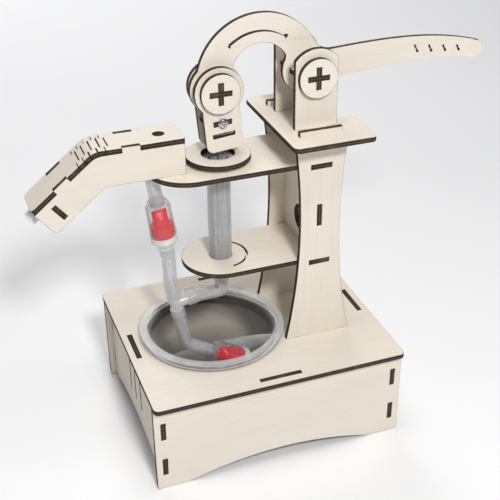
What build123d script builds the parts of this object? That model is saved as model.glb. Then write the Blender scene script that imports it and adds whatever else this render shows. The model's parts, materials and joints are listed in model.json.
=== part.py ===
from build123d import *
import math
import os

# Desk-top lever water pump, built from laser-cut plywood sheet round a plastic syringe.
# X runs along the base, with the handle at +X and the spout at -X. -Y is the front panel.
# Z is up. The dimensions are drawn from the middle of the base, and build() moves every piece
# by -MIDDLE_X, so that the origin is below the middle of the whole object. Millimetres.

os.makedirs("parts", exist_ok=True)

# ---------------------------------------------------------------- sheet and joints
SHEET = 3.0            # plywood thickness
KERF = 0.05            # gap on each side of a tab in its slot
TAB = 26.4             # length of the long tabs under and over the panels
MIDDLE_X = 12.0        # middle of the whole object, from the middle of the base

# ---------------------------------------------------------------- base box
BASE_X = 160.0
BASE_Y = 134.6
BASE_TOP = 62.7        # upper face of the top plate
PANEL_INSET = 5.0      # front and back panels behind the plate's edge
SIDE_X = 74.4          # middle of each side panel
SIDE_TAB = 12.0        # height of the side panels' end tabs
SIDE_TAB_Z = (16.3, 43.0)
PANEL_Y = BASE_Y / 2 - PANEL_INSET
FOOT_ROUND = 2.5       # corners of the long panels' feet
VENT_Y = (-13.2, 0.0, 12.0)
VENT_Z = 35.8          # middle of the vents in the side panels
VENT_LENGTH = 28.5
VENT_WIDTH = 2.0

# ---------------------------------------------------------------- water cup
CUP_X = -23.6
CUP_RIM_R = 46.8
CUP_MOUTH_R = 39.6
CUP_FOOT_R = 34.0
CUP_WALL = 1.2
CUP_RIM_H = 5.1
CUP_FOOT_Z = 8.0
CUP_PLAY = 1.2         # the top plate's hole is this much wider than the cup

# ---------------------------------------------------------------- column
COL_X = 38.0
COL_HALF_Y = 27.0      # outer faces of the column plates
COL_FOOT_HALF = 21.0
COL_WAIST_HALF = 12.6
COL_WAIST_Z = 140.0
COL_TOP_HALF = 16.3
LOWER_SHELF_Z = 117.3  # upper faces
UPPER_SHELF_Z = 181.0
PLATFORM_Z = 199.5
SHELF_TAB = 13.2
SPINE_X = 35.9         # face of the spine that looks at the pump
SPINE_TAB = 14.0
SPINE_HOLE_Z = 133.0
SPINE_HOLE_R = 8.2
SPINE_END_TAB = 16.0   # tabs of the spine through the shelves
SHELF_END_X = -35.0    # centre of the upper shelf's round end
COL_TAB_X = 37.2       # middle of the column tabs that stand through the platform
COL_TAB_RISE = 3.0
PLATFORM_X = (15.5, 66.0)
PLATFORM_Y = 83.0
NOTCH_X = 52.0         # inner end of the notch in the platform
NOTCH_Y = (-8.5, 19.0)             # the handle's notch, wider towards the back

# ---------------------------------------------------------------- pump and linkage
PUMP_X = -16.2
PIVOT = (COL_X, 230.0)             # lever pivot, X and Z
LINK_PIN = (-16.8, 225.3)          # pin at the lever's short end
LINK_TILT = 5.0                    # the link leans this much at rest, foot towards +X
AXLE_R = 6.5                       # half width of a blade's narrow end
AXLE_HUB = 10.0                    # half width of a blade's wide middle
AXLE_HOLE_R = math.hypot(AXLE_R, SHEET / 2) + 0.08
CAP_R = 11.6
BRACKET_Y = 13.8                   # inner faces of the pivot brackets
BRACKET_HALF = 13.0
BRACKET_TOP_R = 16.5
LINK_Y = 5.0                       # inner faces of the link plates
LINK_BAR = 18.5                    # crossbar below the pin, along the link
LINK_SLOT = 25.8                   # thumb disc below the pin, along the link
LINK_SLOT_X = 13.2                 # slot for the thumb disc
LINK_SLOT_H = 2.5
LINK_END = 35.5
SIDE_PLAY = 0.2

# ---------------------------------------------------------------- syringe
BARREL_R = 7.05
BARREL_BORE = 6.05
BARREL_FOOT = 104.5
FLANGE_T = 1.5
NOZZLE_LEN = 7.0
NOZZLE_R = 2.3
SEAL_FOOT = 108.2
SEAL_H = 6.5
DISC_Z = LINK_PIN[1] - LINK_SLOT * math.cos(math.radians(LINK_TILT))
DISC_T = 1.0
DISC_R = 6.4
ROD_HALF = 4.6
RING_R = (10.0, 19.3)              # hole and outside of the ring over the barrel's wings

# ---------------------------------------------------------------- spout
SPOUT_HALF_Y = 11.7
SPOUT_X = -38.9                    # end next to the pump
SPOUT_TOP = 200.0                  # upper edge of the side plates
SPOUT_BEND = (-89.5, SPOUT_TOP)    # corner where the spout turns down
SPOUT_DROP = 38.7                  # angle of the arm below level
SPOUT_ARM = 46.8
SPOUT_ARM_H = 17.3
SPOUT_R = 12.0
SPOUT_END_R = 3.0                  # corners of the side plates at the mouth
MOUTH_ROUND = 2.75                 # corners of the top plate at the mouth, and next to the pump
PUMP_END_ROUND = 1.5
SPOUT_TAB = 10.4
SPOUT_FOOT_X = -47.5               # middle of the side plates' tabs through the upper shelf
HINGE_ROWS = 10                    # rows of slits across the bend
HINGE_PITCH = 2.13
HINGE_SHIFT = 1.1                  # middle of the rows, from the middle of the bend
HINGE_SLIT = 0.6
HINGE_EDGE = 5.7                   # reach of the slits that open at the edges
HINGE_MIDDLE = 12.3                # length of the slits between them
SPOUT_HOSE_DEPTH = 4.7             # hose centre below the side plates' upper edge

# ---------------------------------------------------------------- hoses and valves
HOSE_R = 4.3
HOSE_BORE = 2.9
NIPPLE_R = 2.6
VALVE_TILT = 7.4
VALVE_TOP = (-55.6, 171.0)         # a point on the upper valve's axis, in the XZ plane
TEE = (-46.3, 88.6)
TEE_TILT = 10.0                    # lean of the tee's run, its top towards -X
TEE_ARM = 4.5                      # collar to collar, half
TEE_BARB_R = 2.45
TEE_BARB = 6.0                     # barb beyond the collar, inside the hose
TEE_BRANCH = 8.0


# ================================================================ helpers
def upright(sketch, front_y):
    """Sheet standing along X: the sketch's x and y are X and Z, its front face is at front_y."""
    return extrude(Plane.XZ.offset(-(front_y + SHEET)) * sketch, SHEET)


def sideways(sketch, low_x):
    """Sheet standing along Y: the sketch's x and y are Y and Z, its -X face is at low_x."""
    return extrude(Plane.YZ.offset(low_x) * sketch, SHEET)


def flat(sketch, top_z):
    """Sheet lying level, with its upper face at top_z."""
    return extrude(Plane.XY.offset(top_z - SHEET) * sketch, SHEET)


def rect(x0, x1, y0, y1):
    return Pos((x0 + x1) / 2, (y0 + y1) / 2) * Rectangle(x1 - x0, y1 - y0)


def slot(x, y, length, height):
    """Slot that takes a tab of length x height with the kerf gap all round."""
    return Pos(x, y) * Rectangle(length + 2 * KERF, height + 2 * KERF)


def unit(angle):
    """Direction at an angle below level, pointing to -X."""
    return (-math.cos(math.radians(angle)), -math.sin(math.radians(angle)))


def plumb(angle):
    """Direction down, its foot leaning towards +X by the angle."""
    return (math.sin(math.radians(angle)), -math.cos(math.radians(angle)))


def shift(point, direction, distance):
    return (point[0] + direction[0] * distance, point[1] + direction[1] * distance)


def meet(point, direction, other, way):
    """Where the line from point along direction crosses the line from other along way."""
    cross = direction[0] * way[1] - direction[1] * way[0]
    gap = (other[0] - point[0], other[1] - point[1])
    return shift(point, direction, (gap[0] * way[1] - gap[1] * way[0]) / cross)


def tube(points, radii, outer, bore):
    """Hose through XZ points in the mid plane: straight runs joined by tangent arcs."""
    corners = [Vector(x, 0, z) for x, z in points]
    path = FilletPolyline(corners, radius=list(radii)) if radii else Line(corners[0], corners[-1])
    start = Plane(origin=path @ 0, z_dir=path % 0)
    ring = Circle(outer) - Circle(bore)
    hose = sweep(start * ring, path=path)
    print("hose length", round(path.length, 1), "radii", [round(r, 1) for r in radii])
    print("   volume over section x length", round(hose.volume / (ring.area * path.length), 4))
    return hose


def free_radius(before, turn):
    """Radius of an arc that uses 0.45 of the shorter run next to it."""
    return 0.45 * before / math.tan(math.radians(turn) / 2)


def turned(profile):
    """Solid turned about the Z axis from (radius, height) corners."""
    section = make_face(Polyline(*[(r, 0, z) for r, z in profile], close=True))
    return revolve(section, Axis.Z, 360)


def save(name, shape):
    export_step(Pos(-MIDDLE_X, 0, 0) * shape, f"parts/{name}.step")


# ================================================================ base box
def arch_cut(half_span, rise):
    """Shallow arch under a panel, drawn from its feet at z = 0."""
    arc = ThreePointArc((-half_span, 0), (0, rise), (half_span, 0))
    return make_face([arc, Line((half_span, 0), (-half_span, 0))])


def base_top_plate():
    plate = RectangleRounded(BASE_X, BASE_Y, 3.5)
    plate -= Pos(CUP_X, 0) * Circle(CUP_MOUTH_R + CUP_WALL + CUP_PLAY)
    for side in (-1, 1):
        plate -= slot(0, side * (PANEL_Y - SHEET / 2), TAB, SHEET)
        plate -= slot(side * SIDE_X, 0, SHEET, TAB)
        plate -= slot(COL_X, side * (COL_HALF_Y - SHEET / 2), TAB, SHEET)
    return flat(plate, BASE_TOP)


def base_long_panel(front_y):
    height = BASE_TOP - SHEET
    face = rect(-BASE_X / 2, BASE_X / 2, 0, height)
    feet = [v for v in face.vertices() if v.Y < height / 2]
    face = fillet(feet, FOOT_ROUND)
    face += rect(-TAB / 2, TAB / 2, height, BASE_TOP)
    face -= arch_cut(60.0, 8.8)
    for side in (-1, 1):
        for z in SIDE_TAB_Z:
            face -= slot(side * SIDE_X, z, SHEET, SIDE_TAB)
    return upright(face, front_y)


def base_side_panel(middle_x):
    height = BASE_TOP - SHEET
    inner = PANEL_Y - SHEET
    face = rect(-inner, inner, 0, height)
    face += rect(-TAB / 2, TAB / 2, height, BASE_TOP)
    for z in SIDE_TAB_Z:
        face += rect(-PANEL_Y, PANEL_Y, z - SIDE_TAB / 2, z + SIDE_TAB / 2)
    face -= arch_cut(55.5, 9.4)
    for y in VENT_Y:
        face -= Pos(y, VENT_Z) * SlotOverall(VENT_LENGTH, VENT_WIDTH, rotation=90)
    return sideways(face, middle_x - SHEET / 2)


def water_cup():
    """Clear thin-walled cup that hangs by a rolled rim in the top plate's hole."""
    rim_low = BASE_TOP
    rim_top = rim_low + CUP_RIM_H
    outer = CUP_MOUTH_R + CUP_WALL
    foot = CUP_FOOT_R + CUP_WALL
    profile = [
        (0, CUP_FOOT_Z),
        (foot - 2, CUP_FOOT_Z),
        (foot, CUP_FOOT_Z + 2),
        (outer, rim_low + CUP_RIM_H - CUP_WALL),
        (CUP_RIM_R - CUP_WALL, rim_low + CUP_RIM_H - CUP_WALL),
        (CUP_RIM_R - CUP_WALL, rim_low),
        (CUP_RIM_R, rim_low),
        (CUP_RIM_R, rim_top - 0.6),
        (CUP_RIM_R - 0.6, rim_top),
        (CUP_MOUTH_R, rim_top),
        (CUP_FOOT_R, CUP_FOOT_Z + 2 + CUP_WALL),
        (CUP_FOOT_R - 1.5, CUP_FOOT_Z + CUP_WALL),
        (0, CUP_FOOT_Z + CUP_WALL),
    ]
    return Pos(CUP_X, 0, 0) * turned(profile)


# ================================================================ column
def column_plate(front_y):
    top = PLATFORM_Z - SHEET
    waist_right = (COL_X + COL_WAIST_HALF, COL_WAIST_Z)
    waist_left = (COL_X - COL_WAIST_HALF, COL_WAIST_Z)
    foot_right = (COL_X + COL_FOOT_HALF, BASE_TOP)
    foot_left = (COL_X - COL_FOOT_HALF, BASE_TOP)
    top_right = (COL_X + COL_TOP_HALF, top)
    top_left = (COL_X - COL_TOP_HALF, top)
    outline = [
        Line(foot_left, foot_right),
        ThreePointArc(foot_right, waist_right, top_right),
        Line(top_right, top_left),
        ThreePointArc(top_left, waist_left, foot_left),
    ]
    face = make_face(outline)
    tab_top = PLATFORM_Z + COL_TAB_RISE
    face += rect(COL_TAB_X - TAB / 2, COL_TAB_X + TAB / 2, top, tab_top)
    face += rect(COL_X - TAB / 2, COL_X + TAB / 2, BASE_TOP - SHEET, BASE_TOP)
    for shelf_top in (LOWER_SHELF_Z, UPPER_SHELF_Z):
        face -= slot(COL_X, shelf_top - SHEET / 2, SHELF_TAB, SHEET)
    spine_mid = (LOWER_SHELF_Z + UPPER_SHELF_Z - SHEET) / 2
    face -= slot(SPINE_X + SHEET / 2, spine_mid, SHEET, SPINE_TAB)
    return upright(face, front_y)


def column_spine():
    """Cross wall between the column plates and between the two shelves."""
    low = LOWER_SHELF_Z
    high = UPPER_SHELF_Z - SHEET
    middle = (low + high) / 2
    inner = COL_HALF_Y - SHEET
    face = rect(-inner, inner, low, high)
    face += rect(-COL_HALF_Y, COL_HALF_Y, middle - SPINE_TAB / 2, middle + SPINE_TAB / 2)
    face += rect(-SPINE_END_TAB / 2, SPINE_END_TAB / 2, low - SHEET, high + SHEET)
    face -= Pos(0, SPINE_HOLE_Z) * Circle(SPINE_HOLE_R)
    return sideways(face, SPINE_X)


def shelf_blank(end_x):
    """Shelf with a half-round outer end, and tabs into both column plates."""
    inner = COL_HALF_Y - SHEET
    blank = rect(end_x, COL_X + 9.0, -inner, inner)
    blank += Pos(end_x, 0) * Circle(inner)
    blank += rect(COL_X - SHELF_TAB / 2, COL_X + SHELF_TAB / 2, -COL_HALF_Y, COL_HALF_Y)
    blank -= Pos(PUMP_X, 0) * Circle(BARREL_R + 0.1)
    blank -= slot(SPINE_X + SHEET / 2, 0, SHEET, SPINE_END_TAB)
    return blank


def upper_shelf():
    blank = shelf_blank(SHELF_END_X)
    half = HOSE_R + 0.4
    blank -= Pos(HOSE_NOTCH_X, 0) * Circle(half)
    blank -= rect(SHELF_END_X - COL_HALF_Y, HOSE_NOTCH_X, -half, half)
    for side in (-1, 1):
        blank -= slot(SPOUT_FOOT_X, side * (SPOUT_HALF_Y - SHEET / 2), SPOUT_TAB, SHEET)
    return flat(blank, UPPER_SHELF_Z)


def lower_shelf():
    blank = shelf_blank(PUMP_X)
    relief = Pos(PUMP_X, 0) * (Circle(16.8) - Circle(15.4))
    relief &= Pos(PUMP_X + 13.0, 0) * Rectangle(20, 40)
    return flat(blank - relief, LOWER_SHELF_Z)


def platform():
    left, right = PLATFORM_X
    plate = Pos((left + right) / 2, 0) * RectangleRounded(right - left, PLATFORM_Y, 4.0)
    plate -= rect(NOTCH_X, right + 1, *NOTCH_Y)
    inner = [v for v in plate.vertices() if abs(v.X - NOTCH_X) < 0.01]
    plate = fillet(inner, 3.0)
    outer = [v for v in plate.vertices() if abs(v.X - right) < 0.01 and abs(v.Y) < 20]
    plate = fillet(outer, 1.5)
    for side in (-1, 1):
        plate -= slot(COL_TAB_X, side * (COL_HALF_Y - SHEET / 2), TAB, SHEET)
        plate -= slot(COL_X, side * (BRACKET_Y + SHEET / 2), SHELF_TAB, SHEET)
    return flat(plate, PLATFORM_Z)


def pivot_bracket(front_y):
    left = COL_X - BRACKET_HALF
    right = COL_X + BRACKET_HALF
    shoulder = PIVOT[1] + math.sqrt(BRACKET_TOP_R ** 2 - BRACKET_HALF ** 2)
    top = PIVOT[1] + BRACKET_TOP_R
    outline = [
        Line((left, PLATFORM_Z), (right, PLATFORM_Z)),
        Line((right, PLATFORM_Z), (right, shoulder)),
        ThreePointArc((right, shoulder), (COL_X, top), (left, shoulder)),
        Line((left, shoulder), (left, PLATFORM_Z)),
    ]
    face = make_face(outline)
    face += rect(COL_X - SHELF_TAB / 2, COL_X + SHELF_TAB / 2, PLATFORM_Z - SHEET, PLATFORM_Z)
    face -= Pos(*PIVOT) * Circle(AXLE_HOLE_R)
    return upright(face, front_y)


# ================================================================ axles
def cross_slot(centre, half):
    """Cross-shaped slot that keys a plate to both blades of an axle."""
    return slot(*centre, 2 * half, SHEET) + slot(*centre, SHEET, 2 * half)


def axle_blades(centre, middle, end):
    """Two half-lapped strips: wide between the plates, narrow through them and the caps."""
    strip = Rectangle(2 * AXLE_HUB, 2 * middle) + Rectangle(2 * AXLE_R, 2 * end)
    lap = SHEET + 2 * KERF
    level = strip - rect(-lap / 2, lap / 2, 0, end)
    upright_strip = strip - rect(-lap / 2, lap / 2, -end, 0)
    place = Pos(centre[0], 0, centre[1])
    blade_level = place * extrude(Plane.XY.offset(-SHEET / 2) * level, SHEET)
    blade_upright = place * Rot(0, 90, 0) * extrude(Plane.XY.offset(-SHEET / 2) * upright_strip, SHEET)
    return blade_level, blade_upright


def axle_cap(centre, inner_y, side):
    disc = Pos(*centre) * Circle(CAP_R) - cross_slot(centre, AXLE_R)
    front_y = inner_y if side > 0 else -inner_y - SHEET
    return upright(disc, front_y)


# ================================================================ lever
ARCH_CENTRE = (9.7, 228.0)
ARCH_R = 37.6
ARCH_GROOVE_R = 27.6
GAP_CENTRE = (10.1, 231.2)
GAP_R = 17.4
HUB_R = 14.7
LEVER_END_R = 15.2


def handle_outline():
    top = Spline([(40, 239.0), (76, 240.6), (107, 240.4), (128, 238.1), (151, 232.7)])
    tip = ThreePointArc((151, 232.7), (153.9, 227.4), (148.6, 221.9))
    under = Spline([(148.6, 221.9), (126, 225.4), (104, 225.7), (78, 224.2), (40, 220.2)])
    return make_face([top, tip, under, Line((40, 220.2), (40, 239.0))])


def arch_groove():
    """Thin arc cut through the arch, with a short bar across each end."""
    ring = Circle(ARCH_GROOVE_R + 0.65) - Circle(ARCH_GROOVE_R - 0.65)
    wedge = make_face(Polyline((0, 0), (60, 84), (-60, 68), close=True))
    groove = ring & wedge
    for angle in (math.degrees(math.atan2(84, 60)), math.degrees(math.atan2(68, -60))):
        groove += Rot(0, 0, angle) * Pos(ARCH_GROOVE_R, 0) * Rectangle(2.2, 0.9)
    return Pos(*ARCH_CENTRE) * groove


GRIP_SLOTS = 4                     # short slots with an eye at each end, along the handle
GRIP_FIRST = (108.3, 232.8)
GRIP_PITCH = 9.5
GRIP_FALL = 1.0
GRIP_LENGTH = 5.6
GRIP_TAPER = 0.4
GRIP_WIDTH = 0.9
GRIP_EYE = 0.8


def lever_arm():
    ring = Pos(*ARCH_CENTRE) * Circle(ARCH_R) - Pos(*GAP_CENTRE) * Circle(GAP_R)
    face = ring & rect(-60, 80, ARCH_CENTRE[1], 300)
    face += Pos(*LINK_PIN) * Circle(LEVER_END_R)
    face += Pos(*PIVOT) * Circle(HUB_R)
    face += handle_outline()
    corner = [v for v in face.vertices() if abs(v.X - 45) < 5 and abs(v.Y - 240) < 6]
    face = fillet(corner, 12.0)
    throat = [v for v in face.vertices() if abs(v.X - 25) < 4 and abs(v.Y - 239) < 6]
    face = fillet(throat, 3.0)
    face -= arch_groove()
    for step in range(GRIP_SLOTS):
        across, up = GRIP_FIRST
        place = Pos(across + GRIP_PITCH * step, up - GRIP_FALL * step)
        half = (GRIP_LENGTH - GRIP_TAPER * step) / 2
        cut = SlotOverall(2 * half, GRIP_WIDTH)
        for end in (-1, 1):
            cut += Pos(end * (half - GRIP_EYE), 0) * Circle(GRIP_EYE)
        face -= place * Rot(0, 0, -60) * cut
    face -= cross_slot(PIVOT, AXLE_HUB)
    face -= cross_slot(LINK_PIN, AXLE_HUB)
    return upright(face, -SHEET / 2)


# ================================================================ link, drawn upright about its pin
LINK_HALF = 10.9
LINK_TOP_R = 14.4
BAR_TAB = 10.8


def leaned(shape):
    """Moves a link piece from its own frame to the pin, leaning as it stands at rest."""
    return Pos(LINK_PIN[0], 0, LINK_PIN[1]) * Rot(0, -LINK_TILT, 0) * shape


def link_plate(front_y):
    body = RectangleRounded(2 * LINK_HALF, LINK_END, 4.5)
    face = Circle(LINK_TOP_R) + Pos(0, -LINK_END / 2) * body
    face -= Circle(AXLE_HOLE_R)
    face -= slot(0, -LINK_BAR, BAR_TAB, SHEET) + Pos(0, -LINK_BAR) * Circle(1.7)
    face -= Pos(0, -LINK_SLOT) * Rectangle(LINK_SLOT_X, LINK_SLOT_H)
    return leaned(upright(face, front_y))


def link_crossbar():
    """Bar between the link plates, with a T slot that holds the nut."""
    reach = LINK_Y + SHEET
    face = Rectangle(19.0, 2 * LINK_Y) + Rectangle(BAR_TAB, 2 * reach)
    face -= rect(-1.7, 1.7, -reach, 1.0)
    face -= rect(-3.3, 3.3, -2.7, -0.2)
    bar = extrude(Plane.XY.offset(-LINK_BAR - SHEET / 2) * face, SHEET)
    return leaned(bar)


def link_screw():
    """M3 pan head screw with a cross recess, lying along Y."""
    head = turned([(0, 0), (3.0, 0), (3.0, 0.9), (2.2, 1.7), (1.2, 2.0), (0, 2.0)])
    shank = Pos(0, 0, -4.4) * Cylinder(1.5, 8.8)
    recess = Pos(0, 0, 1.6) * (Box(3.0, 0.7, 1.4) + Box(0.7, 3.0, 1.4))
    screw = head + shank - recess
    return leaned(Pos(0, -(LINK_Y + SHEET), -LINK_BAR) * Rot(90, 0, 0) * screw)


def link_nut():
    across = 5.5
    nut = extrude(RegularPolygon(across / math.sqrt(3), 6) - Circle(1.5), 2.3)
    return leaned(Pos(0, -0.3, -LINK_BAR) * Rot(90, 0, 0) * nut)


# ================================================================ pump
def syringe_barrel():
    foot = BARREL_FOOT
    top = UPPER_SHELF_Z + FLANGE_T
    shell = turned([
        (0.9, foot - NOZZLE_LEN),
        (NOZZLE_R - 0.2, foot - NOZZLE_LEN),
        (NOZZLE_R, foot),
        (BARREL_R - 1, foot),
        (BARREL_R, foot + 1),
        (BARREL_R, top),
        (BARREL_BORE, top),
        (BARREL_BORE, foot + 1.5),
        (0.9, foot + 1.0),
    ])
    wing = RectangleRounded(17.0, 30.0, 5.0) - Circle(BARREL_R - 0.3)
    shell += extrude(Plane.XY.offset(UPPER_SHELF_Z) * wing, FLANGE_T)
    return Pos(PUMP_X, 0, 0) * shell


def retaining_ring():
    ring = Pos(PUMP_X, 0) * (Circle(RING_R[1]) - Circle(RING_R[0]))
    return flat(ring, UPPER_SHELF_Z + FLANGE_T + SHEET)


def plunger_rod():
    low = SEAL_FOOT + SEAL_H + 0.1
    high = DISC_Z + DISC_T / 2
    cross = Rectangle(2 * ROD_HALF, 1.3) + Rectangle(1.3, 2 * ROD_HALF)
    rod = extrude(Plane.XY.offset(low) * cross, high - low)
    rod += Pos(0, 0, high - DISC_T / 2) * Cylinder(DISC_R, DISC_T)
    for z in (low + 0.6, low + 6.0):
        rod += Pos(0, 0, z) * Cylinder(BARREL_BORE - 0.25, 1.2)
    foot = SEAL_FOOT + 2.0
    stub = turned([(0, foot), (1.5, foot), (2.6, foot + 1.2), (1.6, low), (0, low)])
    return Pos(PUMP_X, 0, 0) * (rod + stub)


def plunger_seal():
    """Rubber piston with two sealing lips, and a socket for the rod's stub."""
    z = SEAL_FOOT
    lip = BARREL_BORE - 0.06
    groove = lip - 0.5
    profile = [
        (0, z), (lip - 0.6, z + 0.8), (lip, z + 1.4), (lip, z + 2.2), (groove, z + 2.6), (groove, z + 4.4),
        (lip, z + 4.8), (lip, z + 5.8), (lip - 0.4, z + SEAL_H), (1.7, z + SEAL_H), (2.7, z + 3.2),
        (1.6, z + 1.9), (0, z + 1.9),
    ]
    return Pos(PUMP_X, 0, 0) * turned(profile)


# ================================================================ spout
ARM_DIR = unit(SPOUT_DROP)
ARM_DOWN = plumb(SPOUT_DROP)
ARM_END = shift(SPOUT_BEND, ARM_DIR, SPOUT_ARM)
HALF_DROP = math.radians(SPOUT_DROP) / 2
TOP_TAB_X = -69.4                  # middle of the side plate's tab on the level part
ARM_TAB = 22.5                     # middle of the tab on the arm, back from its end
HOSE_PLATE = 10.7                  # middle of the hose plate, back from the arm's end


def arm_patch(back, depth, along, across):
    """Rectangle square to the arm, back from its end and depth below its upper edge."""
    centre = shift(shift(ARM_END, ARM_DIR, -back), ARM_DOWN, depth)
    return Pos(*centre) * Rot(0, 0, SPOUT_DROP) * Rectangle(along, across)


def spout_side_plate(front_y):
    level = UPPER_SHELF_Z
    end_low = shift(ARM_END, ARM_DOWN, SPOUT_ARM_H)
    run = (level - end_low[1]) / math.sin(math.radians(SPOUT_DROP))
    elbow = shift(end_low, ARM_DIR, -run)
    corners = [(SPOUT_X, level), (SPOUT_X, SPOUT_TOP), SPOUT_BEND, ARM_END, end_low, elbow]
    face = make_face(Polyline(*corners, close=True))
    bend = [v for v in face.vertices() if abs(v.X - SPOUT_BEND[0]) < 0.1]
    face = fillet(bend, SPOUT_R)
    rounded = [v for v in face.vertices() if v.Y < level - 20]
    face = fillet(rounded, SPOUT_END_R)
    face += rect(TOP_TAB_X - SPOUT_TAB / 2, TOP_TAB_X + SPOUT_TAB / 2, SPOUT_TOP - 1, SPOUT_TOP + SHEET)
    face += arm_patch(ARM_TAB, -1.0, SPOUT_TAB, SHEET + 1.0)
    face += rect(SPOUT_FOOT_X - SPOUT_TAB / 2, SPOUT_FOOT_X + SPOUT_TAB / 2, level - SHEET, level)
    face -= arm_patch(HOSE_PLATE, 9.0, SHEET + 2 * KERF, 10.0 + 2 * KERF)
    return upright(face, front_y)


def bend_point(distance):
    """Point on the top plate's middle surface, and its slope, measured from the bend's middle."""
    radius = SPOUT_R + SHEET / 2
    half_arc = radius * HALF_DROP
    tangent = SPOUT_R * math.tan(HALF_DROP)
    centre = (SPOUT_BEND[0] + tangent, SPOUT_TOP - SPOUT_R)
    turn = min(max(HALF_DROP + distance / radius, 0.0), 2 * HALF_DROP)
    over = distance - min(max(distance, -half_arc), half_arc)
    slope = math.degrees(turn)
    point = (centre[0] - radius * math.sin(turn), centre[1] + radius * math.cos(turn))
    return shift(point, unit(slope), over), slope


def spout_top_plate():
    """Sheet over the spout, bent over the corner by rows of short cuts."""
    upper_corner = (SPOUT_BEND[0] - SHEET * math.tan(HALF_DROP), SPOUT_TOP + SHEET)
    upper_end = shift(ARM_END, ARM_DOWN, -SHEET)
    start = (SPOUT_X + 0.4, SPOUT_TOP)
    under = FilletPolyline(start, SPOUT_BEND, ARM_END, radius=SPOUT_R)
    over = FilletPolyline((start[0], upper_corner[1]), upper_corner, upper_end, radius=SPOUT_R + SHEET)
    close_a = Line(start, (start[0], upper_corner[1]))
    close_b = Line(ARM_END, upper_end)
    section = make_face([under, over, close_a, close_b])
    plate = extrude(Plane.XZ.offset(-SPOUT_HALF_Y) * section, 2 * SPOUT_HALF_Y)
    for end, radius in ((-1, MOUTH_ROUND), (1, PUMP_END_ROUND)):
        across = [e for e in plate.edges() if abs(e.length - SHEET) < 0.01]
        corners = [e for e in across if end * (e.center().X - SPOUT_BEND[0]) > 0]
        plate = fillet(corners, radius)
    plate -= Pos(-51.0, 0, SPOUT_TOP + SHEET / 2) * Cylinder(3.5, 2 * SHEET)
    tab_length = SPOUT_TAB + 2 * KERF
    arm_tab = shift(shift(ARM_END, ARM_DIR, -ARM_TAB), ARM_DOWN, -SHEET / 2)
    for side in (-1, 1):
        y = side * (SPOUT_HALF_Y - SHEET / 2 + 1)
        depth = SHEET + 2 + 2 * KERF
        plate -= Pos(TOP_TAB_X, y, SPOUT_TOP + SHEET / 2) * Box(tab_length, depth, 2 * SHEET)
        plate -= Pos(arm_tab[0], y, arm_tab[1]) * Rot(0, -SPOUT_DROP, 0) * Box(tab_length, depth, 2 * SHEET)
    for row in range(HINGE_ROWS):
        (x, z), slope = bend_point((row - (HINGE_ROWS - 1) / 2) * HINGE_PITCH + HINGE_SHIFT)
        place = Pos(x, 0, z) * Rot(0, -slope, 0)
        if row % 2 == 0:
            plate -= place * Box(HINGE_SLIT, HINGE_MIDDLE, 2 * SHEET)
        else:
            for side in (-1, 1):
                plate -= place * Pos(0, side * SPOUT_HALF_Y, 0) * Box(HINGE_SLIT, 2 * HINGE_EDGE, 2 * SHEET)
    return plate


def spout_hose_plate():
    """Cross piece near the spout's mouth, notched from above for the hose."""
    inner = SPOUT_HALF_Y - SHEET - KERF
    low = -(SPOUT_ARM_H - 1.0)
    face = rect(-inner, inner, low, -0.4)
    face += rect(-SPOUT_HALF_Y, SPOUT_HALF_Y, -14.0, -4.0)
    face -= Pos(0, -SPOUT_HOSE_DEPTH) * Circle(HOSE_R + 0.05)
    face -= rect(-(HOSE_R + 0.05), HOSE_R + 0.05, -SPOUT_HOSE_DEPTH, 0.1)
    foot = shift(ARM_END, ARM_DIR, -HOSE_PLATE)
    plate = extrude(Plane.YZ.offset(-SHEET / 2) * face, SHEET)
    return Pos(foot[0], 0, foot[1]) * Rot(0, -SPOUT_DROP, 0) * plate


# ================================================================ valves, tee and hoses
VALVE_DIR = plumb(VALVE_TILT)
HOSE_NOTCH_X = meet(VALVE_TOP, VALVE_DIR, (0, UPPER_SHELF_Z - SHEET / 2), (1, 0))[0]
TEE_DOWN = plumb(TEE_TILT)
TEE_SIDE = (math.cos(math.radians(TEE_TILT)), math.sin(math.radians(TEE_TILT)))
BODY_TOP = 9.5                     # along the valve, from VALVE_TOP
BODY_LEN = 22.0
VALVE_LEN = 32.9
PICKUP_END = (-25.5, 47.5)
PICKUP_DROP = 31.0
RISER_STRAIGHT = 7.0               # straight run below the upper valve
RISER_FOOT = 9.0                   # straight run above the tee
PUMP_LEVEL = 91.3                  # level run of the hose below the syringe


def valve_pieces():
    """Check valve standing on its inlet at the origin: body, duckbill and base."""
    base_top = VALVE_LEN - BODY_LEN - 1.3
    seat = base_top + 1.3
    top = VALVE_LEN
    base = turned([
        (1.6, -5.0), (NIPPLE_R, -5.0), (NIPPLE_R + 0.2, -3.8), (NIPPLE_R - 0.1, -3.8),
        (NIPPLE_R - 0.1, 0), (4.7, 0), (4.9, 1.2), (8.0, base_top - 3.8), (8.2, base_top - 3.4),
        (8.2, base_top), (1.6, base_top),
    ])
    bill = turned([
        (0, base_top + 0.05), (7.3, base_top + 0.05), (7.3, seat - 0.05), (7.15, seat),
        (7.0, base_top + 7.0), (6.6, base_top + 7.4), (4.65, base_top + 7.8),
        (4.65, base_top + 11.0), (0, base_top + 11.0),
    ])
    throat = Plane.XY.offset(base_top + 11.0) * Circle(4.65)
    lips = Plane.XY.offset(base_top + 16.8) * Ellipse(0.9, 4.65)
    bill += loft([throat, lips])
    bill -= turned([
        (0, base_top), (4.2, base_top), (3.7, base_top + 5.0), (3.7, base_top + 11.0), (0, base_top + 12.0),
    ])
    body = turned([
        (8.2, seat), (7.6, top - 3.6), (5.4, top), (4.5, top), (4.5, top - 3.0), (NIPPLE_R, top - 3.0),
        (NIPPLE_R, top + 2.0), (1.6, top + 2.0), (1.6, top - 4.0), (6.0, top - 4.0), (6.9, top - 5.2),
        (7.4, seat),
    ])
    return body, bill, base


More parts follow.
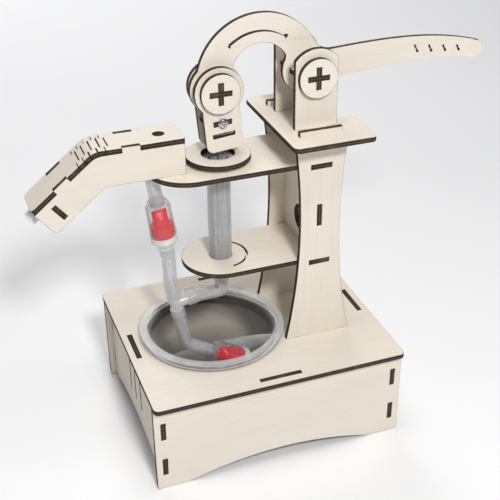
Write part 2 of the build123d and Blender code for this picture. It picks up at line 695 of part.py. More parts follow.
def placed_valve(outlet, direction):
    """Valve whose outlet end is at the XZ point outlet, running on along direction."""
    inlet = shift(outlet, direction, VALVE_LEN)
    up = Plane(origin=(inlet[0], 0, inlet[1]), x_dir=(0, 1, 0), z_dir=(-direction[0], 0, -direction[1]))
    return [up * piece for piece in valve_pieces()]


def tee_connector():
    """Barbed tee: a straight run with one branch towards the syringe."""
    run = Cylinder(TEE_BARB_R, 2 * (TEE_ARM + TEE_BARB)) + Cylinder(HOSE_R - 0.6, 2 * TEE_ARM - 0.2)
    branch = Pos(TEE_BRANCH / 2, 0, 0) * Rot(0, 90, 0) * Cylinder(HOSE_R - 0.8, TEE_BRANCH - 0.2)
    reach = TEE_BRANCH + TEE_BARB
    barb = Pos(reach / 2, 0, 0) * Rot(0, 90, 0) * Cylinder(TEE_BARB_R, reach)
    collar = Cylinder(HOSE_R - 0.1, 0.8)
    rims = Pos(TEE_BRANCH - 0.5, 0, 0) * Rot(0, 90, 0) * collar
    for side in (-1, 1):
        rims += Pos(0, 0, side * (TEE_ARM - 0.5)) * collar
    bore = Cylinder(1.6, 40) + Pos(12, 0, 0) * Rot(0, 90, 0) * Cylinder(1.6, 24)
    return Pos(TEE[0], 0, TEE[1]) * Rot(0, -TEE_TILT, 0) * (run + branch + barb + rims - bore)


def spout_hose():
    """From the spout's mouth, under the top plate, and down through the shelf to the valve."""
    mouth = shift(shift(ARM_END, ARM_DIR, 5.4), ARM_DOWN, SPOUT_HOSE_DEPTH)
    level = SPOUT_TOP - SPOUT_HOSE_DEPTH
    corner = (SPOUT_BEND[0] + SPOUT_HOSE_DEPTH * math.tan(HALF_DROP), level)
    elbow = meet(VALVE_TOP, VALVE_DIR, corner, (1, 0))
    foot = shift(VALVE_TOP, VALVE_DIR, BODY_TOP + 2.8)
    radii = (free_radius(elbow[0] - corner[0], SPOUT_DROP), 13.0)
    return tube([mouth, corner, elbow, foot], radii, HOSE_R, HOSE_BORE)


def turn_between(first, second):
    """Angle in degrees between two directions."""
    return abs(math.degrees(math.atan2(first[1], first[0]) - math.atan2(second[1], second[0])))


def riser_hose():
    """From the upper valve down to the tee, bowed a little towards the spout."""
    start = shift(VALVE_TOP, VALVE_DIR, BODY_TOP + VALVE_LEN)
    end = shift(TEE, TEE_DOWN, -TEE_ARM)
    upper = shift(start, VALVE_DIR, RISER_STRAIGHT)
    lower = shift(end, TEE_DOWN, -RISER_FOOT)
    middle = (lower[0] - upper[0], lower[1] - upper[1])
    radii = (
        free_radius(RISER_STRAIGHT, turn_between(VALVE_DIR, middle)),
        free_radius(RISER_FOOT, turn_between(middle, TEE_DOWN)),
    )
    return tube([start, upper, lower, end], radii, HOSE_R, HOSE_BORE)


def pump_hose():
    """From the syringe's nozzle, round a tight elbow, and level until it meets the tee's branch."""
    top = (PUMP_X, BARREL_FOOT - 0.3)
    elbow = (PUMP_X, PUMP_LEVEL)
    end = shift(TEE, TEE_SIDE, TEE_BRANCH)
    kink = meet(end, TEE_SIDE, elbow, (1, 0))
    radii = (
        free_radius(top[1] - elbow[1], 90),
        free_radius(math.dist(kink, end), TEE_TILT),
    )
    return tube([top, elbow, kink, end], radii, HOSE_R, HOSE_BORE)


def pickup_hose():
    """Hangs from the tee, and curls over to the valve that hangs in the water."""
    start = shift(TEE, TEE_DOWN, TEE_ARM)
    back = unit(-PICKUP_DROP)
    corner = meet(start, TEE_DOWN, PICKUP_END, back)
    radius = free_radius(math.dist(corner, PICKUP_END), 90 - TEE_TILT - PICKUP_DROP)
    return tube([start, corner, shift(PICKUP_END, back, -2.8)], (radius,), HOSE_R, HOSE_BORE)


# ================================================================ write every piece
def build():
    blade_end = BRACKET_Y + SHEET + SIDE_PLAY + SHEET
    pin_end = LINK_Y + SHEET + SIDE_PLAY + SHEET
    lever_blades = axle_blades(PIVOT, BRACKET_Y - SIDE_PLAY, blade_end)
    link_blades = axle_blades(LINK_PIN, LINK_Y - SIDE_PLAY, pin_end)
    outlet_valve = placed_valve(shift(VALVE_TOP, VALVE_DIR, BODY_TOP), VALVE_DIR)
    inlet_direction = (math.cos(math.radians(PICKUP_DROP)), -math.sin(math.radians(PICKUP_DROP)))
    inlet_valve = placed_valve(PICKUP_END, inlet_direction)
    nodes = {
        "base_top_plate": base_top_plate(),
        "base_front_panel": base_long_panel(-PANEL_Y),
        "base_back_panel": base_long_panel(PANEL_Y - SHEET),
        "base_left_panel": base_side_panel(-SIDE_X),
        "base_right_panel": base_side_panel(SIDE_X),
        "water_cup": water_cup(),
        "column_front_plate": column_plate(-COL_HALF_Y),
        "column_rear_plate": column_plate(COL_HALF_Y - SHEET),
        "column_spine": column_spine(),
        "upper_shelf": upper_shelf(),
        "lower_shelf": lower_shelf(),
        "platform": platform(),
        "pivot_bracket_front": pivot_bracket(-BRACKET_Y - SHEET),
        "pivot_bracket_rear": pivot_bracket(BRACKET_Y),
        "lever_arm": lever_arm(),
        "lever_axle_blade_level": lever_blades[0],
        "lever_axle_blade_upright": lever_blades[1],
        "lever_cap_front": axle_cap(PIVOT, BRACKET_Y + SHEET + SIDE_PLAY, -1),
        "lever_cap_rear": axle_cap(PIVOT, BRACKET_Y + SHEET + SIDE_PLAY, 1),
        "link_axle_blade_level": link_blades[0],
        "link_axle_blade_upright": link_blades[1],
        "link_cap_front": axle_cap(LINK_PIN, LINK_Y + SHEET + SIDE_PLAY, -1),
        "link_cap_rear": axle_cap(LINK_PIN, LINK_Y + SHEET + SIDE_PLAY, 1),
        "link_plate_front": link_plate(-LINK_Y - SHEET),
        "link_plate_rear": link_plate(LINK_Y),
        "link_crossbar": link_crossbar(),
        "link_screw": link_screw(),
        "link_nut": link_nut(),
        "syringe_barrel": syringe_barrel(),
        "retaining_ring": retaining_ring(),
        "plunger_rod": plunger_rod(),
        "plunger_seal": plunger_seal(),
        "spout_front_plate": spout_side_plate(-SPOUT_HALF_Y),
        "spout_rear_plate": spout_side_plate(SPOUT_HALF_Y - SHEET),
        "spout_top_plate": spout_top_plate(),
        "spout_hose_plate": spout_hose_plate(),
        "outlet_valve_body": outlet_valve[0],
        "outlet_valve_duckbill": outlet_valve[1],
        "outlet_valve_base": outlet_valve[2],
        "inlet_valve_body": inlet_valve[0],
        "inlet_valve_duckbill": inlet_valve[1],
        "inlet_valve_base": inlet_valve[2],
        "tee_connector": tee_connector(),
        "spout_hose": spout_hose(),
        "riser_hose": riser_hose(),
        "pump_hose": pump_hose(),
        "pickup_hose": pickup_hose(),
    }
    for name, shape in nodes.items():
        save(name, shape)
    print(len(nodes), "nodes")


build()
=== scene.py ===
import json
import math

import bmesh
import bpy
from mathutils import Matrix, Vector


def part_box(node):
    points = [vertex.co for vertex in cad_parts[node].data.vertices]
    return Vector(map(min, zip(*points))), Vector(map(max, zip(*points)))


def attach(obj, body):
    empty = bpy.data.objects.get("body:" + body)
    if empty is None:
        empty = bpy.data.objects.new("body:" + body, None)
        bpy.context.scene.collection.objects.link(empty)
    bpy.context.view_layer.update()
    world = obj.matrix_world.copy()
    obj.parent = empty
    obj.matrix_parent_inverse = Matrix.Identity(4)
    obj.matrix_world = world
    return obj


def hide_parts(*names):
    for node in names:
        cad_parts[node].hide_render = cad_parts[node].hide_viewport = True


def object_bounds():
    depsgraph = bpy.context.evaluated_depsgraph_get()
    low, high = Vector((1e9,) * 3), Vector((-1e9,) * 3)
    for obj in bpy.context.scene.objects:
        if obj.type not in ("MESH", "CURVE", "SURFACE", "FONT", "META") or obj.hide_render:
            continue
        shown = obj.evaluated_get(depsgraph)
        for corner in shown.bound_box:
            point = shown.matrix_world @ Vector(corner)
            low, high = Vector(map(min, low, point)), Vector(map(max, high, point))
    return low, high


# Desk-top lever water pump in laser-cut plywood. Metres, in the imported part's own frame.

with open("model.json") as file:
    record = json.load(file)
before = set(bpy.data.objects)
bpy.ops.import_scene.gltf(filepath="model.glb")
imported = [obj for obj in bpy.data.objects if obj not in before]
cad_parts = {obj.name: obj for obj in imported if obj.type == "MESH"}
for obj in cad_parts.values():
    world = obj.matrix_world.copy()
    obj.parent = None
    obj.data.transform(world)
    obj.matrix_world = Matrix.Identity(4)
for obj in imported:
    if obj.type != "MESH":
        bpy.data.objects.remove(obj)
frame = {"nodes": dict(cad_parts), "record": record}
cad_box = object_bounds()
NODES = frame["nodes"]
BODY_OF = {n: body for body, members in frame["record"]["behaviour"]["bodies"].items() for n in members}
SLOT_OF = {row["node"]: row["material_slot"] for row in frame["record"]["subparts"]}
MM = 0.001

# ---------------------------------------------------------------- camera
BASE_MIDDLE = (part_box("base_top_plate")[0][0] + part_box("base_top_plate")[1][0]) / 2
MIDDLE = BASE_MIDDLE / MM
CAMERA_AT = Vector((-178.81, -504.56, 428.40)) * MM + Vector((BASE_MIDDLE, 0, 0))
CAMERA_AZIMUTH = math.radians(-19.82)
CAMERA_ELEVATION = math.radians(30.21)
CAMERA_ROLL = math.radians(-0.64)
SENSOR = 36.0
LENS = 72.02


def add_camera():
    """Looks along the azimuth and down by the elevation, with a slight roll."""
    level = math.cos(CAMERA_ELEVATION)
    back = Vector((math.sin(CAMERA_AZIMUTH) * level, -math.cos(CAMERA_AZIMUTH) * level,
                   math.sin(CAMERA_ELEVATION)))
    right = (-back).cross(Vector((0, 0, 1))).normalized()
    up = right.cross(-back)
    turn = Matrix.Rotation(CAMERA_ROLL, 3, back)
    axes = Matrix((turn @ right, turn @ up, back)).transposed()
    data = bpy.data.cameras.new("camera")
    data.sensor_width = SENSOR
    data.lens = LENS
    data.clip_end = 20.0
    camera = bpy.data.objects.new("camera", data)
    camera.matrix_world = Matrix.Translation(CAMERA_AT) @ axes.to_4x4()
    bpy.context.scene.collection.objects.link(camera)
    bpy.context.scene.camera = camera


# ---------------------------------------------------------------- node graphs
class Graph:
    """A material's node graph, built by short calls."""

    def __init__(self, name):
        self.material = bpy.data.materials.new(name)
        self.material.use_nodes = True
        self.tree = self.material.node_tree
        self.tree.nodes.clear()

    def add(self, kind, inputs=None, **settings):
        node = self.tree.nodes.new(kind)
        for key, value in settings.items():
            setattr(node, key, value)
        for key, value in (inputs or {}).items():
            self.put(node.inputs[key], value)
        return node

    def put(self, socket, value):
        if isinstance(value, bpy.types.NodeSocket):
            self.tree.links.new(value, socket)
        else:
            socket.default_value = value

    def math(self, operation, a, b=0.0, clamp=False):
        node = self.add("ShaderNodeMath", {0: a, 1: b}, operation=operation, use_clamp=clamp)
        return node.outputs[0]

    def stretch(self, vector, factors):
        node = self.add("ShaderNodeVectorMath", {0: vector, 1: factors}, operation="MULTIPLY")
        return node.outputs[0]

    def noise(self, vector, scale=1.0, detail=4.0, roughness=0.5, distortion=0.0):
        inputs = {"Vector": vector, "Scale": scale, "Detail": detail, "Roughness": roughness,
                  "Distortion": distortion}
        return self.add("ShaderNodeTexNoise", inputs).outputs["Fac"]

    def spread(self, value, low, high, to_low=0.0, to_high=1.0):
        inputs = {"Value": value, "From Min": low, "From Max": high, "To Min": to_low, "To Max": to_high}
        return self.add("ShaderNodeMapRange", inputs, interpolation_type="SMOOTHSTEP").outputs[0]

    def mix(self, factor, a, b, blend="MIX"):
        node = self.add("ShaderNodeMix", data_type="RGBA", blend_type=blend)
        self.put(node.inputs["Factor"], factor)
        for key, value in (("A", a), ("B", b)):
            socket = [s for s in node.inputs if s.name == key and s.type == "RGBA"][0]
            self.put(socket, value)
        return [s for s in node.outputs if s.type == "RGBA"][0]

    def ramp(self, value, stops):
        node = self.add("ShaderNodeValToRGB", {"Fac": value})
        band = node.color_ramp
        while len(band.elements) < len(stops):
            band.elements.new(0.5)
        for element, (place, colour) in zip(band.elements, stops):
            element.position = place
            element.color = colour
        return node.outputs[0]

    def bump(self, height, distance, strength=1.0):
        inputs = {"Height": height, "Distance": distance, "Strength": strength}
        return self.add("ShaderNodeBump", inputs).outputs[0]

    def attribute(self, name, output="Vector"):
        return self.add("ShaderNodeAttribute", attribute_name=name).outputs[output]

    def place(self):
        return self.add("ShaderNodeTexCoord").outputs["Object"]

    def finish(self, **inputs):
        """Closes the graph with one Principled shader and returns the material."""
        named = {key.replace("_", " "): value for key, value in inputs.items()}
        shader = self.add("ShaderNodeBsdfPrincipled", named)
        out = self.add("ShaderNodeOutputMaterial")
        self.tree.links.new(shader.outputs[0], out.inputs["Surface"])
        return self.material


def rgb(red, green, blue):
    return (red, green, blue, 1.0)


# ---------------------------------------------------------------- plywood
WOOD_PALE = rgb(0.800, 0.735, 0.640)
WOOD_WARM = rgb(0.725, 0.640, 0.530)
WOOD_COOL = rgb(0.735, 0.715, 0.625)
WOOD_FIBRE = rgb(0.560, 0.465, 0.360)
SCORCH_DARK = rgb(0.030, 0.020, 0.014)
SCORCH_BROWN = rgb(0.190, 0.120, 0.070)
CHAR = rgb(0.016, 0.011, 0.008)
CUT_VENEER = rgb(0.040, 0.028, 0.020)
CUT_CORE = rgb(0.100, 0.070, 0.047)


def plywood_face():
    """Basswood veneer: fine streaks, soft clouds, short pores, and a scorched rim at each cut."""
    g = Graph("plywood_face")
    grain = g.attribute("grain")
    clouds = g.noise(g.stretch(grain, (9.0, 26.0, 26.0)), detail=3.0)
    warmth = g.noise(g.stretch(grain, (14.0, 60.0, 60.0)), detail=2.0, distortion=0.4)
    streaks = g.noise(g.stretch(grain, (28.0, 900.0, 900.0)), detail=5.0, roughness=0.65)
    pores = g.noise(g.stretch(grain, (260.0, 3600.0, 3600.0)), detail=2.0, roughness=0.6)
    tone = g.mix(g.spread(clouds, 0.35, 0.70, 0.0, 0.55), WOOD_PALE, WOOD_WARM)
    tone = g.mix(g.spread(warmth, 0.45, 0.75, 0.0, 0.45), tone, WOOD_COOL)
    tone = g.mix(g.spread(streaks, 0.48, 0.78, 0.0, 0.24), tone, WOOD_FIBRE)
    tone = g.mix(g.spread(pores, 0.66, 0.80, 0.0, 0.40), tone, WOOD_FIBRE)
    burn = g.attribute("burn", "Fac")
    ragged = g.noise(g.stretch(grain, (500.0, 500.0, 500.0)), detail=3.0)
    haze = g.math("MULTIPLY", g.math("POWER", burn, 2.2), g.spread(ragged, 0.25, 0.7, 0.45, 1.0))
    tone = g.mix(haze, tone, SCORCH_BROWN)
    rim = g.spread(g.math("ADD", burn, g.math("MULTIPLY", ragged, 0.25)), 0.92, 1.10, 0.0, 0.9)
    tone = g.mix(rim, tone, SCORCH_DARK)
    height = g.math("ADD", g.math("MULTIPLY", streaks, 0.7), g.math("MULTIPLY", pores, -0.5))
    return g.finish(Base_Color=tone, Roughness=g.spread(streaks, 0.3, 0.7, 0.50, 0.64),
                    Normal=g.bump(height, 0.00006, 0.35), Specular_IOR_Level=0.32)


def plywood_cut():
    """Laser-cut edge: charred, with the plies as bands and fine striations across the sheet."""
    g = Graph("plywood_cut")
    grain = g.attribute("grain")
    depth = g.attribute("depth", "Fac")
    wave = g.noise(g.stretch(grain, (700.0, 700.0, 60.0)), detail=3.0)
    wobble = g.math("ADD", depth, g.math("MULTIPLY", g.math("SUBTRACT", wave, 0.5), 0.10))
    tone = g.ramp(wobble, [
        (0.0, CHAR), (0.06, CUT_VENEER), (0.30, CUT_VENEER), (0.35, CHAR), (0.42, CUT_CORE),
        (0.57, CUT_CORE), (0.65, CHAR), (0.71, CUT_VENEER), (0.94, CUT_VENEER), (1.0, CHAR),
    ])
    striae = g.noise(g.stretch(grain, (2600.0, 2600.0, 90.0)), detail=3.0, roughness=0.6)
    soot = g.noise(g.stretch(grain, (140.0, 140.0, 140.0)), detail=3.0)
    tone = g.mix(g.spread(striae, 0.45, 0.75, 0.0, 0.65), tone, CHAR)
    tone = g.mix(g.spread(soot, 0.52, 0.78, 0.0, 0.5), tone, SCORCH_BROWN)
    return g.finish(Base_Color=tone, Roughness=g.spread(striae, 0.3, 0.7, 0.70, 0.88),
                    Normal=g.bump(striae, 0.00008, 0.6), Specular_IOR_Level=0.22)


SCORCH_WIDTH = 0.45 * MM
EDGE_ROUND = 0.10 * MM
SMOOTH_ANGLE = math.radians(32)
WELD = 0.002 * MM
ON_FACE = 0.02                                    # share of the sheet that counts as its face
GRAIN_STEP = Vector((0.317, 0.173, 0.071))        # moves each piece to its own part of the grain


def piece_mesh(bm, name, materials):
    """Object from a bmesh, riding on nothing yet, with sharp edges kept."""
    mesh = bpy.data.meshes.new(name)
    bm.to_mesh(mesh)
    bm.free()
    for material in materials:
        mesh.materials.append(material)
    for polygon in mesh.polygons:
        polygon.use_smooth = True
    mesh.set_sharp_from_angle(angle=SMOOTH_ANGLE)
    piece = bpy.data.objects.new(name, mesh)
    bpy.context.scene.collection.objects.link(piece)
    return piece


def settle(piece, node):
    """The piece stands for its CAD node, whose part it hides, and rides on that node's body."""
    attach(piece, BODY_OF[node])
    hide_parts(node)


def flat_depth(normal, bm):
    """Share of the sheet's thickness, 0 to 1, as a function of a point."""
    reach = [v.co.dot(normal) for v in bm.verts]
    low, high = min(reach), max(reach)
    return lambda co: (co.dot(normal) - low) / (high - low)


def sheet_piece(node, index, normal, along, depth_of=None, run_of=None):
    """Plywood piece: the CAD outline with a scorched rim on both faces and softened cut edges."""
    bm = bmesh.new()
    bm.from_mesh(NODES[node].data)
    bmesh.ops.remove_doubles(bm, verts=bm.verts, dist=WELD)
    bmesh.ops.dissolve_degenerate(bm, edges=bm.edges, dist=WELD / 4)
    depth_of = depth_of or flat_depth(normal, bm)
    run_of = run_of or (lambda co: co.dot(along))
    sides = ([], [])
    for face in bm.faces:
        depths = [depth_of(v.co) for v in face.verts]
        if max(depths) < ON_FACE:
            sides[0].append(face)
        elif min(depths) > 1 - ON_FACE:
            sides[1].append(face)
        else:
            face.material_index = 1
    for faces in sides:
        bmesh.ops.inset_region(bm, faces=faces, thickness=SCORCH_WIDTH, use_even_offset=True,
                               use_boundary=True)
    outline = [e for e in bm.edges if len({f.material_index for f in e.link_faces}) == 2]
    bmesh.ops.bevel(bm, geom=outline, offset=EDGE_ROUND, segments=1, affect="EDGES",
                    clamp_overlap=True, material=-1)
    across = normal.cross(along)
    patch = GRAIN_STEP * (index + 1)
    burn = bm.verts.layers.float.new("burn")
    depth = bm.verts.layers.float.new("depth")
    grain = bm.verts.layers.float_vector.new("grain")
    for v in bm.verts:
        v[burn] = 1.0 if any(f.material_index == 1 for f in v.link_faces) else 0.0
        v[depth] = min(max(depth_of(v.co), 0.0), 1.0)
        v[grain] = Vector((run_of(v.co), v.co.dot(across), v[depth] * SHEET)) + patch
    bmesh.ops.recalc_face_normals(bm, faces=bm.faces)
    settle(piece_mesh(bm, "ply_" + node, [PLY_FACE, PLY_CUT]), node)


X, Y, Z = Vector((1, 0, 0)), Vector((0, 1, 0)), Vector((0, 0, 1))
LINK_LEAN = math.radians(5.0)                     # the link's lean at rest
LINK_DOWN = Vector((math.sin(LINK_LEAN), 0, -math.cos(LINK_LEAN)))
LINK_SIDE = Vector((math.cos(LINK_LEAN), 0, math.sin(LINK_LEAN)))
SPOUT_DROP = math.radians(38.7)                   # the spout's arm below level
SPOUT_RUN = Vector((-math.cos(SPOUT_DROP), 0, -math.sin(SPOUT_DROP)))
SHEET = 3.0 * MM
FLAT_SHEETS = {
    "base_top_plate": (Z, X), "base_front_panel": (Y, X), "base_back_panel": (Y, X),
    "base_left_panel": (X, Y), "base_right_panel": (X, Y),
    "column_front_plate": (Y, Z), "column_rear_plate": (Y, Z), "column_spine": (X, Z),
    "upper_shelf": (Z, X), "lower_shelf": (Z, X), "platform": (Z, X),
    "pivot_bracket_front": (Y, Z), "pivot_bracket_rear": (Y, Z), "lever_arm": (Y, X),
    "lever_axle_blade_level": (Z, Y), "lever_axle_blade_upright": (X, Y),
    "lever_cap_front": (Y, X), "lever_cap_rear": (Y, Z),
    "link_axle_blade_level": (Z, Y), "link_axle_blade_upright": (X, Y),
    "link_cap_front": (Y, X), "link_cap_rear": (Y, Z),
    "link_plate_front": (Y, LINK_DOWN), "link_plate_rear": (Y, LINK_DOWN),
    "link_crossbar": (-LINK_DOWN, LINK_SIDE), "retaining_ring": (Z, Y),
    "spout_front_plate": (Y, X), "spout_rear_plate": (Y, X), "spout_hose_plate": (-SPOUT_RUN, Y),
}

BEND = (-89.5 + MIDDLE, 200.0)                    # corner of the spout's side plates
SPOUT_BEND = Vector((BEND[0] * MM, 0, BEND[1] * MM))
SPOUT_R = 12.0 * MM                               # inner radius of the bent sheet
SPOUT_CENTRE = SPOUT_BEND + Vector((SPOUT_R * math.tan(SPOUT_DROP / 2), 0, -SPOUT_R))


def bend_depth(co):
    """Share of the bent sheet's thickness: level, round the bend, then down the arm."""
    out = co - SPOUT_CENTRE
    turn = math.atan2(-out.x, out.z)
    if turn <= 0.0:
        return (co.z - SPOUT_BEND.z) / SHEET
    if turn < SPOUT_DROP:
        return (math.hypot(out.x, out.z) - SPOUT_R) / SHEET
    return (co - SPOUT_BEND).dot(Vector((-math.sin(SPOUT_DROP), 0, math.cos(SPOUT_DROP)))) / SHEET


def bend_run(co):
    """Distance along the bent sheet, for its grain."""
    out = co - SPOUT_CENTRE
    turn = min(max(math.atan2(-out.x, out.z), 0.0), SPOUT_DROP)
    if turn <= 0.0:
        return out.x
    tail = max((co - SPOUT_CENTRE).dot(SPOUT_RUN), 0.0) if turn >= SPOUT_DROP else 0.0
    return -(SPOUT_R * turn + tail)


# ---------------------------------------------------------------- turned and swept meshes
def frame_at(origin, up):
    """Matrix whose Z runs along up and whose X is the world's Y."""
    side = up.cross(Y)
    return Matrix.Translation(origin) @ Matrix((Y, side, up)).transposed().to_4x4()


def arc(centre_r, centre_z, radius, start, end, steps=6):
    """Points of a round stretch of a profile, angles in degrees from the outward direction."""
    turns = [math.radians(start + (end - start) * i / steps) for i in range(steps + 1)]
    return [(centre_r + radius * math.cos(t), centre_z + radius * math.sin(t)) for t in turns]


def skin(bm, rings, closed):
    """Joins rings of vertices in order; a ring of one vertex is a pole."""
    pairs = list(zip(rings, rings[1:])) + ([(rings[-1], rings[0])] if closed else [])
    for a, b in pairs:
        count = max(len(a), len(b))
        for i in range(count):
            j = (i + 1) % count
            corners = [a[i % len(a)], a[j % len(a)], b[j % len(b)], b[i % len(b)]]
            unique = list(dict.fromkeys(corners))
            if len(unique) > 2:
                bm.faces.new(unique)
    bmesh.ops.recalc_face_normals(bm, faces=bm.faces)


def turned(name, place, profile, material, haze=lambda r, z: 0.0, steps=72, shape=None):
    """Turned mesh from a profile of (radius, height) in mm; shape can flatten a ring by its height."""
    bm = bmesh.new()
    grain = bm.verts.layers.float_vector.new("grain")
    milk_and_shade = bm.verts.layers.float.new("haze")
    rings = []
    for r, z in profile:
        ring = []
        for i in range(steps if r > 0 else 1):
            t = 2 * math.pi * i / steps
            x, y = r * math.cos(t), r * math.sin(t)
            if shape:
                x, y = shape(x, y, z)
            vert = bm.verts.new(place @ (Vector((x, y, z)) * MM))
            vert[grain] = Vector((z, x, y)) * MM
            vert[milk_and_shade] = haze(r, z)
            ring.append(vert)
        rings.append(ring)
    skin(bm, rings, closed=profile[0][0] > 0)
    return piece_mesh(bm, name, [material])


def smooth_route(points):
    """Points along the NURBS line that follows a hose's route, read from the curve itself."""
    curve = bpy.data.curves.new("route", "CURVE")
    curve.dimensions = "3D"
    curve.resolution_u = 16
    spline = curve.splines.new("NURBS")
    spline.points.add(len(points) - 1)
    for target, (x, z) in zip(spline.points, points):
        target.co = (x * MM, 0.0, z * MM, 1.0)
    spline.order_u = 3
    spline.use_endpoint_u = True
    guide = bpy.data.objects.new("route", curve)
    mesh = bpy.data.meshes.new_from_object(guide)
    line = [v.co.copy() for v in mesh.vertices]
    bpy.data.objects.remove(guide)
    bpy.data.curves.remove(curve)
    bpy.data.meshes.remove(mesh)
    return line


HOSE_OUTER = 4.1 * MM
HOSE_INNER = 2.8 * MM
FLARE = 0.45 * MM                                 # how much a barb stretches the hose
FLARE_LENGTH = 6.6 * MM
FLARE_EASE = 1.6 * MM                             # length over which the flare runs out
BARB_PITCH = 2.2 * MM
BARB_RIDGE = 0.10 * MM
HOSE_SIDES = 40


def hose(name, points, flared):
    """Soft tube along a route, stretched over the barb at each end that is flared."""
    line = smooth_route(points)
    lengths = [0.0]
    for a, b in zip(line, line[1:]):
        lengths.append(lengths[-1] + (b - a).length)
    bm = bmesh.new()
    grain = bm.verts.layers.float_vector.new("grain")
    bm.verts.layers.float.new("haze")
    walls = ([], [])
    for i, (at, run) in enumerate(zip(line, lengths)):
        ahead = (line[min(i + 1, len(line) - 1)] - line[max(i - 1, 0)]).normalized()
        side = ahead.cross(Y)
        swell = 0.0
        for end, distance in zip(flared, (run, lengths[-1] - run)):
            if end:
                inside = min(max((FLARE_LENGTH - distance) / FLARE_EASE, 0.0), 1.0)
                ridge = BARB_RIDGE * math.cos(distance / BARB_PITCH * 2 * math.pi)
                swell += (FLARE + ridge) * inside * inside * (3 - 2 * inside)
        for wall, radius in zip(walls, (HOSE_OUTER + swell, HOSE_INNER + swell)):
            ring = []
            for step in range(HOSE_SIDES):
                t = 2 * math.pi * step / HOSE_SIDES
                out = side * math.cos(t) + Y * math.sin(t)
                vert = bm.verts.new(at + out * radius)
                vert[grain] = Vector((run, radius * math.cos(t), radius * math.sin(t)))
                ring.append(vert)
            wall.append(ring)
    skin(bm, walls[0] + walls[1][::-1], closed=True)
    return piece_mesh(bm, name, [FINISHES["hose_pvc"]])


# ---------------------------------------------------------------- clear and moulded parts
def darker(colour, share):
    return tuple(c * share for c in colour[:3]) + (1.0,)


# Grey that the clear skin is painted towards where haze is below zero: painted shade on the cup's wall,
# and a faint grey tint across its middle.
SHADE_AND_TINT_GREY = rgb(0.10, 0.10, 0.105)


def see_through(name, tint, open_skin, turned_skin, roughness, marks, own_grain=True, mark=0.12,
                haze=0.0, milky_from=0.05):
    """Clear plastic as a thin skin: nearly open face on, milky where it turns away, with flow marks.

    The haze attribute makes it milkier where it is above zero; below zero it paints painted shade, a
    darker and more opaque grey.
    """
    g = Graph(name)
    where = g.attribute("grain") if own_grain else g.place()
    cloud = g.noise(g.stretch(g.place(), (150.0, 150.0, 150.0)), detail=3.0)
    flow = g.noise(g.stretch(where, marks), detail=3.0, roughness=0.6)
    tone = g.mix(g.spread(cloud, 0.3, 0.75, 0.0, 0.6), tint, darker(tint, 0.86))
    pale = tuple(min(c * 1.25, 0.9) for c in tint[:3]) + (1.0,)
    tone = g.mix(g.spread(flow, 0.55, 0.80, 0.0, 0.5), tone, pale)
    edge = g.add("ShaderNodeLayerWeight", {"Blend": 0.35}).outputs["Facing"]
    skin_share = g.spread(edge, milky_from, 0.95, open_skin, turned_skin)
    skin_share = g.math("ADD", skin_share, g.spread(flow, 0.35, 0.75, -mark, mark))
    if haze:
        # Painted shade: below zero the haze attribute darkens the tone towards this grey and makes the
        # skin more opaque.
        milk_and_shade = g.attribute("haze", "Fac")
        tone = g.mix(g.spread(milk_and_shade, 0.0, -0.3), tone, SHADE_AND_TINT_GREY)
        milk_and_shade = g.math("MULTIPLY", g.math("ABSOLUTE", milk_and_shade), haze)
        skin_share = g.math("ADD", skin_share, milk_and_shade)
    rough = g.spread(cloud, 0.3, 0.7, roughness * 0.7, roughness * 1.4)
    alpha = g.math("ADD", skin_share, 0.0, clamp=True)
    return g.finish(Base_Color=tone, Roughness=rough, IOR=1.49, Alpha=alpha,
                    Normal=g.bump(flow, 0.00005, 0.25))


MOULD_GRAIN = 1500.0
MOULD_DEPTH = 0.03 * MM


def moulded(name, colour, roughness):
    """Opaque moulded plastic or rubber with a fine surface and slight tone changes."""
    g = Graph(name)
    fine = g.noise(g.stretch(g.place(), (MOULD_GRAIN,) * 3), detail=4.0)
    broad = g.noise(g.stretch(g.place(), (90.0, 90.0, 90.0)), detail=2.0)
    tone = g.mix(g.spread(broad, 0.3, 0.7, 0.0, 0.5), colour, darker(colour, 0.82))
    rough = g.spread(fine, 0.3, 0.7, roughness * 0.85, roughness * 1.2)
    return g.finish(Base_Color=tone, Roughness=rough, Normal=g.bump(fine, MOULD_DEPTH, 0.5))


def bright_steel():
    g = Graph("screw_steel")
    wear = g.noise(g.stretch(g.place(), (700.0, 700.0, 700.0)), detail=5.0)
    turning = g.noise(g.stretch(g.place(), (3000.0, 400.0, 3000.0)), detail=2.0)
    tone = g.mix(g.spread(wear, 0.4, 0.8), rgb(0.60, 0.60, 0.61), rgb(0.30, 0.30, 0.31))
    return g.finish(Base_Color=tone, Metallic=1.0, Roughness=g.spread(wear, 0.3, 0.8, 0.16, 0.38),
                    Normal=g.bump(turning, 0.00002, 0.4))


PLY_FACE = plywood_face()
PLY_CUT = plywood_cut()
FINISHES = {
    "clear_plastic": see_through("cup_clear", rgb(0.80, 0.80, 0.80), 0.03, 0.12, 0.06,
                                 (700.0, 12.0, 12.0), mark=0.015, haze=0.42),
    "valve_clear": see_through("valve_clear", rgb(0.42, 0.33, 0.36), 0.09, 0.58, 0.10,
                               (30.0, 300.0, 300.0), mark=0.02, haze=0.26, milky_from=0.20),
    "syringe_plastic": see_through("syringe_plastic", rgb(0.55, 0.56, 0.57), 0.36, 0.84, 0.20,
                                   (420.0, 420.0, 9.0), own_grain=False, mark=0.12),
    "hose_pvc": see_through("hose_pvc", rgb(0.70, 0.70, 0.71), 0.40, 0.80, 0.16,
                            (70.0, 420.0, 420.0), mark=0.10),
    "tee_plastic": see_through("tee_plastic", rgb(0.74, 0.74, 0.75), 0.60, 0.92, 0.14,
                               (300.0, 300.0, 300.0), own_grain=False),
    "white_plastic": moulded("white_plastic", rgb(0.73, 0.73, 0.72), 0.28),
    "red_rubber": moulded("red_rubber", rgb(0.92, 0.004, 0.004), 0.36),
    "seal_rubber": moulded("seal_rubber", rgb(0.022, 0.022, 0.024), 0.55),
    "screw_steel": bright_steel(),
}


